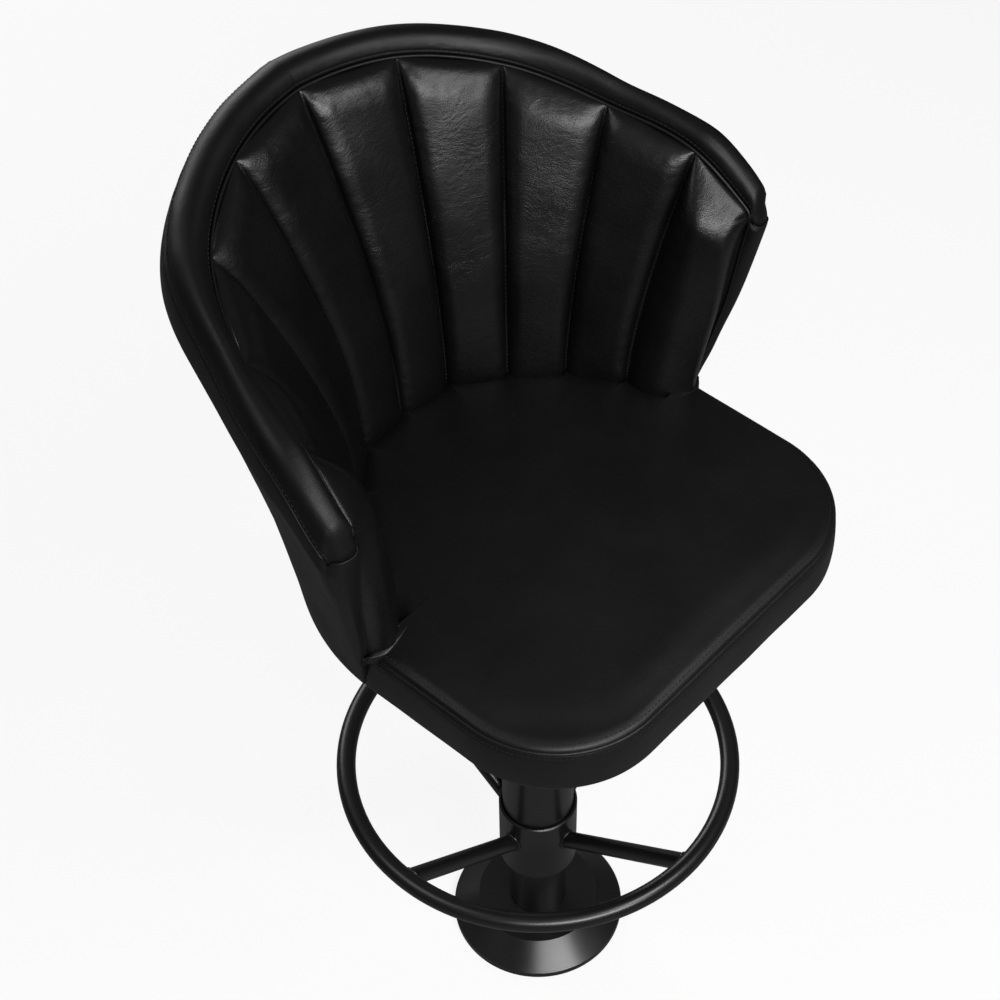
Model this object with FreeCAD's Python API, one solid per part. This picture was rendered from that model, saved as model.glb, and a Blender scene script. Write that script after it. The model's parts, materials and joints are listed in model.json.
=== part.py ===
import FreeCAD, Part
import math
import os

os.makedirs("parts", exist_ok=True)

V = FreeCAD.Vector
UP = V(0, 0, 1)

# Driving sizes, in millimetres. The column's axis is the Z axis, the floor is z = 0,
# and a sitter faces -Y.

# Foot of the pedestal
cover_radius = 102.4
cover_lip_height = 8.3
cover_top_radius = 71.5
cover_height = 31.0
cover_wall = 1.6
floor_plate_radius = 95.0
floor_plate_thickness = 8.0
floor_bolt_circle = 152.0
floor_bolt_count = 4
floor_bolt_turn = 45.0
floor_bolt_hole_radius = 5.5
cover_clearance = 0.3

# Fixed post and the hub of the footrest
post_radius = 33.2
post_wall = 4.0
post_top_drop = 71.0
hub_radius = 45.3
hub_wall = 2.6
hub_bottom = 128.0
hub_top = 228.0
hub_collar_height = 22.0
hub_edge_round = 2.0

# Footrest
ring_radius = 215.0
ring_bar_radius = 10.7
ring_height = 313.5
spoke_count = 4
spoke_radius = 9.8
spoke_hub_height = 187.6

# Turning column and its bearing
column_radius = 41.1
column_wall = 3.0
column_foot_gap = 6.0
bush_length = 40.0
bush_running_gap = 0.05
upper_bush_drop = 12.0
plug_skirt = 18.0
plug_flange = 6.0
spindle_radius = 12.0
race_thickness = 3.0
race_inner_radius = 15.0
race_outer_radius = 31.0
race_groove_depth = 0.8
ball_radius = 3.5
ball_count = 12
ball_gap = 0.05
head_thickness = 10.0
washer_thickness = 2.5
washer_play = 0.1
washer_radius = 20.0
nut_across_corners = 42.0
nut_height = 14.0
spindle_end_spare = 4.0

# Seat carrier
plate_half_width = 105.0
plate_thickness = 6.0
plate_corner_radius = 18.0
plate_bolt_spacing = 160.0
gusset_reach = 52.0
gusset_drop = 46.0
gusset_thickness = 5.0
seat_bolt_radius = 4.0
seat_bolt_head_radius = 7.5
seat_bolt_head_height = 5.3
seat_bolt_clearance = 0.4
tee_nut_barrel_radius = 5.2
tee_nut_flange_radius = 11.0
tee_nut_flange_thickness = 1.5
dust_cover_thickness = 1.0
dust_cover_inset = 20.0

# Seat
seat_underside = 667.0
border_height = 53.0
seat_board_thickness = 15.0
seat_half_width = 237.0
seat_front_reach = 243.0
seat_corner_radius = 116.0
seat_crown = 29.0
border_inset = 9.0
seat_welt_radius = 2.4

# Back. A place on it is a share of the way from its centre, 0, to the front of an arm, 1.
# The inner seam line has a foot on the seat and a top at the rim, both round a back centre.
back_centre_offset = 20.0
foot_radius = 165.0
foot_rise = 15.0
foot_angle = 95.6
top_radius = 270.0
back_rise = 362.0
top_angle = 102.5
arm_drop_share = 0.3923
lean_power = 1.6
arm_bow = 9.0
base_angle = 88.0
rim_width = 38.0
rim_crest = 23.0
rim_fall = 12.0
rim_depth = 20.0
rim_clearance = 0.95
rim_end_turn = 15.0
rim_seam_share = 0.001
bulge_reach = 17.0
bulge_drop = 22.0
flare_hollow = 6.0
hollow_shares = (1.0, 1.0, 1.0, 1.0, 0.8, 0.3)
cover_thickness = 9.0
shell_thickness = 10.0
pad_depth = 8.0
channel_bulge = 12.0
arm_bulge = 32.0
channel_back_bow = 2.0
channel_side_gap = 0.4
foam_clearance = 3.2
back_welt_radius = 2.2
soft_gap = 0.4
facing_foot_share = 0.268
cushion_round = 8.0
cushion_clearance = 1.2
cushion_edge = 10.0

# Shares of the way at which the ten channels meet, and the change of each size there
seam_shares = (0.0, 0.223, 0.45, 0.662, 0.868, 1.0)
foot_radius_shares = (1.0, 1.035, 0.995, 1.052, 1.142, 1.48)
top_angle_shares = (0.0, 0.2195, 0.436, 0.656, 0.86, 1.0)
top_radius_shares = (1.0, 0.986, 0.985, 0.952, 0.963, 1.024)
top_drop_shares = (0.0, 0.056, 0.246, 0.465, 0.627, 1.0)
rim_width_shares = (1.0, 0.95, 0.9, 0.71, 0.74, 0.74)
rim_turn_shares = (0.0, 0.0, 0.0, 0.0, 0.0, 1.0)
roll_shares = (0.2, 0.74, 0.86, 0.6)
bulge_shares = (1.0, 1.0, 0.8, 0.45, 0.6, 0.15)
crown_share = 0.75
crest_shares = (1.0, 1.0, 1.0, 0.9, 0.75, 0.35)
arm_bow_shares = (0.0, 0.0, 0.0, 0.0, 0.2, 1.0)
cover_shares = (1.0, 1.0, 1.0, 1.0, 1.0, 0.4)
depth_shares = (1.0, 1.0, 1.0, 1.0, 1.0, 0.2)

# Shares of a channel's height at which its outline is drawn, and how full it is there
level_shares = (0.0, 0.12, 0.3, 0.5, 0.7, 0.84, 0.92, 0.965, 0.985)
fullness_shares = (0.5, 0.66, 0.86, 1.0, 1.0, 0.96, 0.84, 0.6, 0.3)
arm_fullness_shares = (0.9, 0.94, 1.0, 1.0, 1.0, 0.94, 0.8, 0.56, 0.28)
wall_shares = (0.0, 0.12, 0.24, 0.36, 0.48, 0.6, 0.7, 0.8, 0.86, 0.92, 0.95, 1.0)
core_end_share = 0.86
facing_start_share = 0.91
wall_room_share = 0.92

overrun = 20.0
welt_start = 20.0

# Heights that follow from the ones above
post_top = seat_underside - post_top_drop
seat_seam_height = seat_underside + border_height
foot_height = seat_seam_height + foot_rise
top_height = seat_seam_height + back_rise
top_drop = back_rise * arm_drop_share
facing_bottom = foot_height + (top_height - top_drop - foot_height) * facing_foot_share
pad_room_reach = seat_half_width - foot_radius


def export(shape, name):
    shape.exportStep("parts/" + name + ".step")
    print(name, len(shape.Solids), "valid", shape.isValid(), "volume", round(shape.Volume))


def disc(radius, bottom, top):
    return Part.makeCylinder(radius, top - bottom, V(0, 0, bottom))


def tube(outer, inner, bottom, top):
    return disc(outer, bottom, top).cut(disc(inner, bottom - overrun, top + overrun))


def around(shape, count, start=0.0):
    copies = []
    for index in range(count):
        copy = shape.copy()
        copy.rotate(V(0, 0, 0), UP, start + 360.0 * index / count)
        copies.append(copy)
    return copies


def revolved(points):
    wire = Part.makePolygon(points + [points[0]])
    return Part.Face(wire).revolve(V(0, 0, 0), UP, 360)


def hexagon(across_corners, bottom, height):
    points = []
    for index in range(7):
        turn = math.radians(60 * index)
        points.append(V(across_corners / 2 * math.cos(turn), across_corners / 2 * math.sin(turn), bottom))
    return Part.Face(Part.makePolygon(points)).extrude(V(0, 0, height))


def shares_at(shares, u):
    """Smooth curve through a table of shares that stand at the seams, level at the centre."""
    u = abs(u)
    spans = [i for i in range(len(seam_shares) - 1) if seam_shares[i] <= u] or [0]
    low = spans[-1]
    high = low + 1

    def slope(i):
        if i == 0:
            return 0.0
        if i == len(seam_shares) - 1:
            return (shares[i] - shares[i - 1]) / (seam_shares[i] - seam_shares[i - 1])
        return (shares[i + 1] - shares[i - 1]) / (seam_shares[i + 1] - seam_shares[i - 1])

    width = seam_shares[high] - seam_shares[low]
    s = (u - seam_shares[low]) / width
    value = shares[low] * (1 + 2 * s) * (1 - s) ** 2
    value += shares[high] * s * s * (3 - 2 * s)
    value += slope(low) * width * s * (1 - s) ** 2
    value += slope(high) * width * s * s * (s - 1)
    return value


class Station:
    """The wall of the back at one share of the way from its centre to an arm's front."""

    def __init__(self, share):
        side = -1 if share < 0 else 1
        u = abs(share)
        self.share = share
        self.foot = self.around_back(side, foot_angle * u, foot_radius * shares_at(foot_radius_shares, u))
        sweep = top_angle * shares_at(top_angle_shares, u)
        self.top = self.around_back(side, sweep, top_radius * shares_at(top_radius_shares, u))
        self.height = top_height - top_drop * shares_at(top_drop_shares, u)
        self.bow = side * arm_bow * shares_at(arm_bow_shares, u)
        self.width = rim_width * shares_at(rim_width_shares, u)
        self.crest = rim_crest * shares_at(crest_shares, u)
        turn = math.radians(sweep - rim_end_turn * shares_at(rim_turn_shares, u))
        self.out = V(side * math.sin(turn), math.cos(turn), 0)
        base = math.radians(base_angle * u)
        self.base = V(side * seat_half_width * math.sin(base), seat_half_width * math.cos(base), 0)
        self.bulge = self.top + self.out * (self.width + bulge_reach * shares_at(bulge_shares, u))
        self.bulge_height = self.height - rim_fall - bulge_drop
        self.cover = cover_thickness * shares_at(cover_shares, u)
        self.depth = pad_depth * shares_at(depth_shares, u)
        self.hollow = flare_hollow * shares_at(hollow_shares, u)

    def around_back(self, side, sweep, radius):
        turn = math.radians(sweep)
        return V(side * radius * math.sin(turn), back_centre_offset + radius * math.cos(turn), 0)

    def height_at(self, share):
        """Height of a share of the way from the seat's seam plane to the inner seam's top."""
        return seat_seam_height + soft_gap + (self.height - seat_seam_height - soft_gap) * share

    def inner(self, height):
        """The seam face: upright at the foot and flared toward the rim."""
        rise = max(0.0, (height - foot_height) / (self.height - foot_height))
        place = self.foot + (self.top - self.foot) * rise ** lean_power
        return place + V(self.bow * math.sin(math.pi * min(rise, 1.0)), 0, height)

    def outer(self, height):
        """The outside face: a straight flare from the seat's lower edge to the bulge."""
        rise = (height - seat_underside) / (self.bulge_height - seat_underside)
        hollow = self.out * self.hollow * math.sin(math.pi * min(max(rise, 0.0), 1.0))
        return self.base + (self.bulge - self.base) * rise - hollow + UP * height

    def across(self, height, reach):
        """A point between the two faces: from the inner one, or from the outer if below 0."""
        face = self.inner(height) if reach >= 0 else self.outer(height)
        return face + self.out * reach

    def rim_point(self, reach, height):
        return self.top + self.out * reach + UP * (self.height + height)


def arc(start, middle, end):
    return Part.Arc(start, middle, end).toShape()


def line(start, end):
    return Part.LineSegment(start, end).toShape()


def spaced(start, end, count):
    return [start + (end - start) * index / count for index in range(count + 1)]


def both_sides(shares):
    return [-share for share in reversed(shares[1:])] + list(shares)


def flattened(points):
    """Points moved square on to the plane through the first, the middle and the last."""
    origin = points[0]
    normal = (points[len(points) // 2] - origin).cross(points[-1] - origin).normalize()
    return [point - normal * (point - origin).dot(normal) for point in points]


def lofted(wires):
    return Part.makeLoft(wires, True, False)


def seat_outline(inset, height):
    """Rounded front, straight sides and a round back about the column's axis."""
    half = seat_half_width - inset
    front = -(seat_front_reach - inset)
    corner = seat_corner_radius - inset
    diagonal = corner * (1 - math.sqrt(0.5))
    edges = [
        arc(V(half, 0, height), V(0, half, height), V(-half, 0, height)),
        line(V(-half, 0, height), V(-half, front + corner, height)),
        arc(V(-half, front + corner, height), V(-half + diagonal, front + diagonal, height),
            V(-half + corner, front, height)),
        line(V(-half + corner, front, height), V(half - corner, front, height)),
        arc(V(half - corner, front, height), V(half - diagonal, front + diagonal, height),
            V(half, front + corner, height)),
        line(V(half, front + corner, height), V(half, 0, height)),
    ]
    return Part.Wire(edges)


def seat_slab(inset, bottom, top):
    return Part.Face(seat_outline(inset, bottom)).extrude(V(0, 0, top - bottom))


# Foot of the pedestal

def make_base_cover():
    rim = cover_radius - cover_wall
    bore = post_radius + cover_clearance
    points = [
        V(cover_radius, 0, 0),
        V(cover_radius, 0, cover_lip_height),
        V(cover_top_radius, 0, cover_height),
        V(bore, 0, cover_height),
        V(bore, 0, cover_height - cover_wall),
        V(cover_top_radius - cover_wall / 2, 0, cover_height - cover_wall),
        V(rim, 0, cover_lip_height - cover_wall / 2),
        V(rim, 0, 0),
    ]
    return revolved(points)


def make_floor_plate():
    plate = disc(floor_plate_radius, 0, floor_plate_thickness)
    hole = Part.makeCylinder(floor_bolt_hole_radius, floor_plate_thickness + 2 * overrun,
                             V(floor_bolt_circle / 2, 0, -overrun))
    for copy in around(hole, floor_bolt_count, floor_bolt_turn):
        plate = plate.cut(copy)
    return plate


def make_post():
    return tube(post_radius, post_radius - post_wall, floor_plate_thickness, post_top)


# Footrest

def make_hub():
    bore = hub_radius - hub_wall
    shelf = hub_bottom + hub_collar_height
    points = [
        V(post_radius, 0, hub_bottom),
        V(hub_radius - hub_edge_round, 0, hub_bottom),
        V(hub_radius, 0, hub_bottom + hub_edge_round),
        V(hub_radius, 0, hub_top - hub_wall / 2),
        V(hub_radius - hub_wall / 2, 0, hub_top),
        V(bore, 0, hub_top),
        V(bore, 0, shelf),
        V(post_radius, 0, shelf),
    ]
    return revolved(points)


def make_ring():
    return Part.makeTorus(ring_radius, ring_bar_radius, V(0, 0, ring_height))


def make_spokes():
    """Raking bars from the hub up to the ring, coped to both."""
    start = V(0, 0, spoke_hub_height - hub_radius * spoke_slope())
    end = V(ring_radius, 0, ring_height)
    run = end - start
    bar = Part.makeCylinder(spoke_radius, run.Length, start, run)
    bar = bar.cut(disc(hub_radius, 0, post_top)).cut(make_ring())
    pieces = sorted(bar.Solids, key=lambda solid: solid.Volume)
    return around(pieces[-1], spoke_count)


def spoke_slope():
    return (ring_height - spoke_hub_height) / (ring_radius - hub_radius)


# Turning column and bearing

column_bore = column_radius - column_wall
column_foot = hub_bottom + hub_collar_height + column_foot_gap
column_top = seat_underside - plate_thickness
race_floor = post_top + plug_flange
ball_height = race_floor + race_thickness + ball_radius - race_groove_depth + ball_gap
upper_race_floor = ball_height + ball_radius - race_groove_depth + ball_gap
head_floor = upper_race_floor + race_thickness
washer_floor = head_floor + head_thickness + washer_play
ball_ring_radius = (race_inner_radius + race_outer_radius) / 2


def make_column():
    return tube(column_radius, column_bore, column_foot, column_top)


def make_bush(bottom):
    return tube(column_bore, post_radius + bush_running_gap, bottom, bottom + bush_length)


def make_post_plug():
    """Plug in the top of the post, with the spindle that the seat turns on."""
    skirt = disc(post_radius - post_wall, post_top - plug_skirt, post_top)
    flange = disc(post_radius, post_top, race_floor)
    top = washer_floor + washer_thickness + nut_height + spindle_end_spare
    spindle = disc(spindle_radius, race_floor, top)
    return skirt.fuse(flange).fuse(spindle).removeSplitter()


def make_race(bottom, groove_height):
    ring = tube(race_outer_radius, race_inner_radius, bottom, bottom + race_thickness)
    groove = Part.makeTorus(ball_ring_radius, ball_radius + ball_gap, V(0, 0, groove_height))
    return ring.cut(groove)


def make_balls():
    ball = Part.makeSphere(ball_radius, V(ball_ring_radius, 0, ball_height))
    return Part.makeCompound(around(ball, ball_count))


def make_column_head():
    return tube(column_bore, spindle_radius + bush_running_gap, head_floor, head_floor + head_thickness)


def make_spindle_washer():
    bottom = washer_floor
    return tube(washer_radius, spindle_radius, bottom, bottom + washer_thickness)


def make_spindle_nut():
    bottom = washer_floor + washer_thickness
    nut = hexagon(nut_across_corners, bottom, nut_height)
    return nut.cut(disc(spindle_radius, bottom - overrun, bottom + nut_height + overrun))


# Seat carrier

board_bottom = seat_underside + dust_cover_thickness
board_top = board_bottom + seat_board_thickness


def bolt_places(height):
    half = plate_bolt_spacing / 2
    return [V(x, y, height) for x in (-half, half) for y in (-half, half)]


def drilled(shape, radius):
    low = shape.BoundBox.ZMin - overrun
    length = shape.BoundBox.ZLength + 2 * overrun
    for place in bolt_places(low):
        shape = shape.cut(Part.makeCylinder(radius, length, place))
    return shape


def make_seat_plate():
    half = plate_half_width
    plate = Part.makeBox(2 * half, 2 * half, plate_thickness, V(-half, -half, column_top))
    upright = [edge for edge in plate.Edges if edge.BoundBox.ZLength > plate_thickness / 2]
    plate = plate.makeFillet(plate_corner_radius, upright)
    return drilled(plate, seat_bolt_radius + seat_bolt_clearance)


def make_gussets():
    """Four webs that stiffen the joint of the column and the plate."""
    inner = column_radius
    half = gusset_thickness / 2
    lip = gusset_thickness
    points = [
        V(inner, -half, column_top),
        V(inner + gusset_reach, -half, column_top),
        V(inner + gusset_reach, -half, column_top - lip),
        V(inner + lip, -half, column_top - gusset_drop),
        V(inner, -half, column_top - gusset_drop),
    ]
    web = Part.Face(Part.makePolygon(points + [points[0]])).extrude(V(0, gusset_thickness, 0))
    web = web.cut(disc(column_radius, column_top - 2 * gusset_drop, column_top + overrun))
    return Part.makeCompound(around(web, 4))


def make_seat_bolts():
    bolts = []
    top = board_top - tee_nut_flange_thickness
    for place in bolt_places(column_top):
        head = hexagon(2 * seat_bolt_head_radius, -seat_bolt_head_height, seat_bolt_head_height)
        head.translate(place)
        shank = Part.makeCylinder(seat_bolt_radius, top - column_top, place)
        bolts.append(head.fuse(shank).removeSplitter())
    return Part.makeCompound(bolts)


def make_tee_nuts():
    """Nuts let into the board from above, flush with it."""
    nuts = []
    for place in bolt_places(board_bottom):
        barrel = Part.makeCylinder(tee_nut_barrel_radius, seat_board_thickness, place)
        flange = Part.makeCylinder(tee_nut_flange_radius, tee_nut_flange_thickness,
                                   place + UP * (seat_board_thickness - tee_nut_flange_thickness))
        bore = Part.makeCylinder(seat_bolt_radius, seat_board_thickness + 2 * overrun,
                                 place - UP * overrun)
        nuts.append(barrel.fuse(flange).cut(bore).removeSplitter())
    return Part.makeCompound(nuts)


def make_dust_cover():
    sheet = seat_slab(dust_cover_inset, seat_underside, board_bottom)
    return drilled(sheet, seat_bolt_radius + seat_bolt_clearance)


def make_seat_board():
    board = seat_slab(border_inset + soft_gap, board_bottom, board_top)
    for place in bolt_places(board_bottom):
        barrel = Part.makeCylinder(tee_nut_barrel_radius, seat_board_thickness + 2 * overrun,
                                   place - UP * overrun)
        flange = Part.makeCylinder(tee_nut_flange_radius, tee_nut_flange_thickness + overrun,
                                   place + UP * (seat_board_thickness - tee_nut_flange_thickness))
        board = board.cut(barrel).cut(flange)
    return board


# Back

def layer(shares, bottom, near, far, crest):
    """A layer of the wall through stations at the given shares. The near and far functions
    give its two faces' reach at a station, and crest the height of its outer top."""
    wires = []
    for share in shares:
        station = Station(share)
        top = under_rim(station)
        high = crest(station)
        inside = [station.across(height, near(station)) for height in spaced(bottom, top, 2)]
        outside = [station.across(height, far(station)) for height in spaced(high, bottom, 2)]
        lip = station.rim_point(station.width - station.cover - 2 * soft_gap, top - station.height)
        points = inside + [lip] + outside
        if abs(share) == 1.0:
            points = end_flattened(points, share)
        elif share in (shares[0], shares[-1]):
            points = flattened(points)
        edges = [
            arc(*points[:3]),
            line(points[2], points[3]),
            line(points[3], points[4]),
            arc(*points[4:]),
            line(points[6], points[0]),
        ]
        wires.append(Part.Wire(edges))
    return lofted(wires)


def under_rim(station):
    return station.height - rim_depth - rim_clearance


def foam_reach(station):
    return station.depth + channel_back_bow + foam_clearance


def shell_reach(station):
    return -(station.cover + 2 * soft_gap + shell_thickness)


core_shares = both_sides([share for share in wall_shares if share <= core_end_share])


def make_outer_cover():
    """Outside of the back, from the seat's lower edge over the bulge to the outer seam."""
    wires = []
    for share in both_sides(wall_shares):
        station = Station(share)
        low = seat_underside
        high = station.bulge_height
        middle = (low + high) / 2
        seam = station.rim_point(station.width, -rim_fall)
        bulge = station.outer(high)
        swell = bulge_reach * shares_at(bulge_shares, share) * crown_share
        crown = station.rim_point(station.width + swell, -rim_fall - bulge_drop / 2)
        lip = station.rim_point(station.width - station.cover, -rim_depth - soft_gap)
        points = [
            station.across(low, -station.cover),
            station.across(middle, -station.cover),
            station.across(high, -station.cover),
            lip,
            seam - UP * soft_gap,
            crown,
            bulge,
            station.outer(middle),
            station.outer(low),
        ]
        if abs(share) == 1.0:
            points = end_flattened(points, share)
        edges = [
            arc(*points[:3]),
            line(points[2], points[3]),
            line(points[3], points[4]),
            arc(*points[4:7]),
            arc(*points[6:]),
            line(points[8], points[0]),
        ]
        wires.append(Part.Wire(edges))
    return lofted(wires)


def end_plane(side):
    """The leaning plane of an arm's front: through its foot, its top and its outer corner."""
    station = Station(side)
    origin = station.inner(foot_height)
    up = station.inner(station.height) - origin
    across = station.outer(station.bulge_height) - origin
    normal = up.cross(across).normalize()
    if normal.y > 0:
        normal = normal * -1
    return origin, normal


def end_flattened(points, side):
    origin, normal = end_plane(side)
    return [point - normal * (point - origin).dot(normal) for point in points]


def make_rim_roll(side):
    """Half of the rolled rim, from the seam at the back's centre to an arm's end."""
    wires = []
    for share in (rim_seam_share,) + wall_shares[1:]:
        station = Station(side * share)
        share = side * share
        clear = back_welt_radius + 2 * soft_gap
        points = [
            station.rim_point(clear, clear / 2),
            station.rim_point(station.width * roll_shares[0], station.crest * roll_shares[1]),
            station.rim_point(station.width / 2, station.crest),
            station.rim_point(station.width * roll_shares[2], station.crest * roll_shares[3]),
            station.rim_point(station.width - 2 * soft_gap, -rim_fall),
            station.rim_point(station.width - station.cover - 2 * soft_gap, -rim_depth),
            station.rim_point(foam_reach(station), -rim_depth),
            station.rim_point(foam_reach(station), -back_welt_radius),
        ]
        if abs(share) == 1.0:
            points = end_flattened(points, share)
        edges = [
            arc(*points[:3]),
            arc(*points[2:5]),
            line(points[4], points[5]),
            line(points[5], points[6]),
            line(points[6], points[7]),
            line(points[7], points[0]),
        ]
        wires.append(Part.Wire(edges))
    return lofted(wires)


def pad_section(left, right, share, bulge, grow, reach):
    """Outline of a channel at a share of its height: a bow inward and a back of given reach."""
    start = left.inner(left.height_at(share))
    end = right.inner(right.height_at(share))
    run = V(end.x - start.x, end.y - start.y, 0).normalize()
    out = V(-run.y, run.x, 0)
    if out.dot(left.out + right.out) < 0:
        out = out * -1
    along = (end - start).normalize()
    start = start + along * (clearance_at(left) - grow)
    end = end - along * (clearance_at(right) - grow)
    middle = (start + end) / 2
    start_back = start + within(left.out, out, along) * (reach or left.depth)
    end_back = end + within(right.out, out, along) * (reach or right.depth)
    middle_back = (start_back + end_back) / 2 + out * channel_back_bow
    edges = [
        arc(start, middle - out * (bulge + grow), end),
        line(end, end_back),
        arc(end_back, middle_back, start_back),
        line(start_back, start),
    ]
    return Part.Wire(edges)


def within(direction, out, along):
    """The direction brought into the plane of out and along."""
    return (out * direction.dot(out) + along * direction.dot(along)).normalize()


def clearance_at(station):
    """Room a channel leaves at a seam, more where the welt of an arm's front runs."""
    if abs(station.share) == 1.0:
        return back_welt_radius + foam_clearance / 2
    return channel_side_gap


def channel_spans():
    sides = both_sides(seam_shares)
    return list(zip(sides[:-1], sides[1:]))


def fullness_of(span):
    at_arm = 1.0 in (abs(span[0]), abs(span[1]))
    return (arm_bulge, arm_fullness_shares) if at_arm else (channel_bulge, fullness_shares)


def make_channel_pad(span):
    """One stuffed channel between two seams: its face bows inward, its back lies on the foam."""
    left = Station(span[0])
    right = Station(span[1])
    bulge, fullness = fullness_of(span)
    wires = []
    for share, full in zip(level_shares, fullness):
        wires.append(pad_section(left, right, share, bulge * full, 0, 0))
    return lofted(wires)


def make_pad_room(span):
    """Block the seat cushion keeps clear of: a channel's foot, grown all round and backward."""
    left = Station(span[0])
    right = Station(span[1])
    bulge, fullness = fullness_of(span)
    wires = []
    for share, full in zip((-level_shares[1],) + level_shares[:3], fullness[:1] + fullness[:3]):
        wires.append(pad_section(left, right, share, bulge * full, cushion_clearance, pad_room_reach))
    return lofted(wires)


def tube_along(points, radius):
    curve = Part.BSplineCurve()
    curve.interpolate(points)
    path = Part.Wire([curve.toShape()])
    start = points[0]
    heading = curve.tangent(curve.FirstParameter)[0]
    circle = Part.Wire([Part.makeCircle(radius, start, heading)])
    return path.makePipeShell([circle], True, False)


def make_rim_welt(radius):
    points = []
    for share in both_sides(wall_shares):
        station = Station(share)
        rise = -soft_gap if abs(share) == 1.0 else 0
        points.append(station.rim_point(0, rise))
    return tube_along(points, radius)


def make_arm_welt(side, radius):
    station = Station(side)
    top = station.height - 2 * back_welt_radius - 2 * soft_gap
    return tube_along([station.inner(height) for height in spaced(foot_height, top, len(level_shares))], radius)


def make_facing(side):
    """Padding that closes the wall at an arm's front, between the welt and the outer cover."""
    shares = [side * share for share in (facing_start_share,) + wall_shares if share >= facing_start_share]
    return layer(shares, facing_bottom, foam_reach,
                 lambda station: -(station.cover + 2 * soft_gap), lambda station: station.bulge_height)


def make_back_foam():
    return layer(core_shares, board_top + soft_gap, foam_reach,
                 lambda station: shell_reach(station) - soft_gap, lambda station: station.bulge_height)


def make_back_shell():
    """Moulded shell between the foam and the outer cover."""
    wires = []
    for share in core_shares:
        station = Station(share)
        bottom = board_top + soft_gap
        top = station.bulge_height - shell_thickness
        inside = [station.across(height, shell_reach(station)) for height in spaced(bottom, top, 2)]
        outside = [station.across(height, shell_reach(station) + shell_thickness)
                   for height in spaced(top, bottom, 2)]
        points = inside + outside
        if share in (core_shares[0], core_shares[-1]):
            points = flattened(points)
        edges = [
            arc(*points[:3]),
            line(points[2], points[3]),
            arc(*points[3:]),
            line(points[5], points[0]),
        ]
        wires.append(Part.Wire(edges))
    return lofted(wires)


# Seat

def behind_arm_front(side, clear):
    """Block of all that lies behind an arm's leaning front, to trim the seat's band by."""
    origin, normal = end_plane(1.0)
    wires = []
    for height in (seat_underside - overrun, seat_seam_height + overrun):
        points = []
        for x in (seat_half_width - rim_width, seat_half_width + rim_width):
            y = origin.y - (normal.x * (x - origin.x) + normal.z * (height - origin.z)) / normal.y
            points.append(V(side * x, y - clear, height))
        points.append(V(points[1].x, seat_half_width, height))
        points.append(V(points[0].x, seat_half_width, height))
        wires.append(Part.makePolygon(points + [points[0]]))
    return Part.makeLoft(wires, True, True)


def make_seat_welt(radius):
    """Piping round the front and the sides of the seat, from one arm's foot to the other."""
    half = seat_half_width - seat_welt_radius + soft_gap
    front = -(seat_front_reach - seat_welt_radius + soft_gap)
    corner = seat_corner_radius
    diagonal = corner * (1 - math.sqrt(0.5))
    height = seat_seam_height
    start = V(-half, -welt_start, height)
    edges = [
        line(start, V(-half, front + corner, height)),
        arc(V(-half, front + corner, height), V(-half + diagonal, front + diagonal, height),
            V(-half + corner, front, height)),
        line(V(-half + corner, front, height), V(half - corner, front, height)),
        arc(V(half - corner, front, height), V(half - diagonal, front + diagonal, height),
            V(half, front + corner, height)),
        line(V(half, front + corner, height), V(half, -welt_start, height)),
    ]
    circle = Part.Wire([Part.makeCircle(radius, start, V(0, 1, 0))])
    return Part.Wire(edges).makePipeShell([circle], True, False)


def make_seat_border():
    """Padded band round the front and sides of the seat, as far as the arms' fronts."""
    top = seat_seam_height - soft_gap / 2
    band = seat_slab(0, seat_underside, top)
    band = band.cut(seat_slab(border_inset, seat_underside - overrun, top + overrun))
    back = Part.makeBox(2 * seat_half_width, seat_half_width, seat_seam_height,
                        V(-seat_half_width, back_centre_offset, seat_underside - overrun))
    band = band.cut(back)
    for side in (-1, 1):
        band = band.cut(behind_arm_front(side, soft_gap))
    return largest(band.cut(make_seat_welt(seat_welt_radius + soft_gap / 2)))


def largest(shape):
    return sorted(shape.Solids, key=lambda solid: solid.Volume)[-1]


def wall_room(near, low, high, share):
    """Block of all that lies in and behind the wall, from a given reach outward."""
    wires = []
    for place in both_sides([place for place in wall_shares if place <= share]):
        station = Station(place)
        shell = (station.outer(high) - station.foot).dot(station.out) + shell_reach(station)
        start = station.foot + station.out * (min(near, shell - soft_gap)) + UP * low
        end = start + station.out * (2 * rim_width)
        tall = UP * (high - low)
        wires.append(Part.makePolygon([start, end, end + tall, start + tall, start]))
    return lofted(wires)


def make_seat_foam():
    top = seat_seam_height - soft_gap / 2
    block = seat_slab(border_inset + soft_gap, board_top, top)
    room = wall_room(pad_depth + channel_back_bow + soft_gap, board_top - overrun, top + overrun,
                     wall_room_share)
    return largest(block.cut(room))


def make_seat_cushion():
    """Crowned pad with a rolled edge, cut to the feet of the channels."""
    bottom = seat_seam_height + soft_gap / 2
    corner_reach = math.hypot(seat_half_width, seat_front_reach) - seat_corner_radius * (math.sqrt(2) - 1)
    fall = seat_crown - cushion_edge
    dome_radius = (corner_reach ** 2 + fall ** 2) / (2 * fall)
    slab = seat_slab(0, bottom, bottom + 2 * seat_crown)
    dome = Part.makeSphere(dome_radius, V(0, 0, seat_seam_height + seat_crown - dome_radius))
    pad = slab.common(dome)
    crest = [edge for edge in pad.Edges if edge.BoundBox.ZMin > bottom + cushion_edge / 2]
    pad = pad.makeFillet(cushion_round, crest)
    for span in channel_spans():
        pad = pad.cut(make_pad_room(span))
    return largest(largest(pad).cut(make_seat_welt(seat_welt_radius + soft_gap / 2)))


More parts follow.
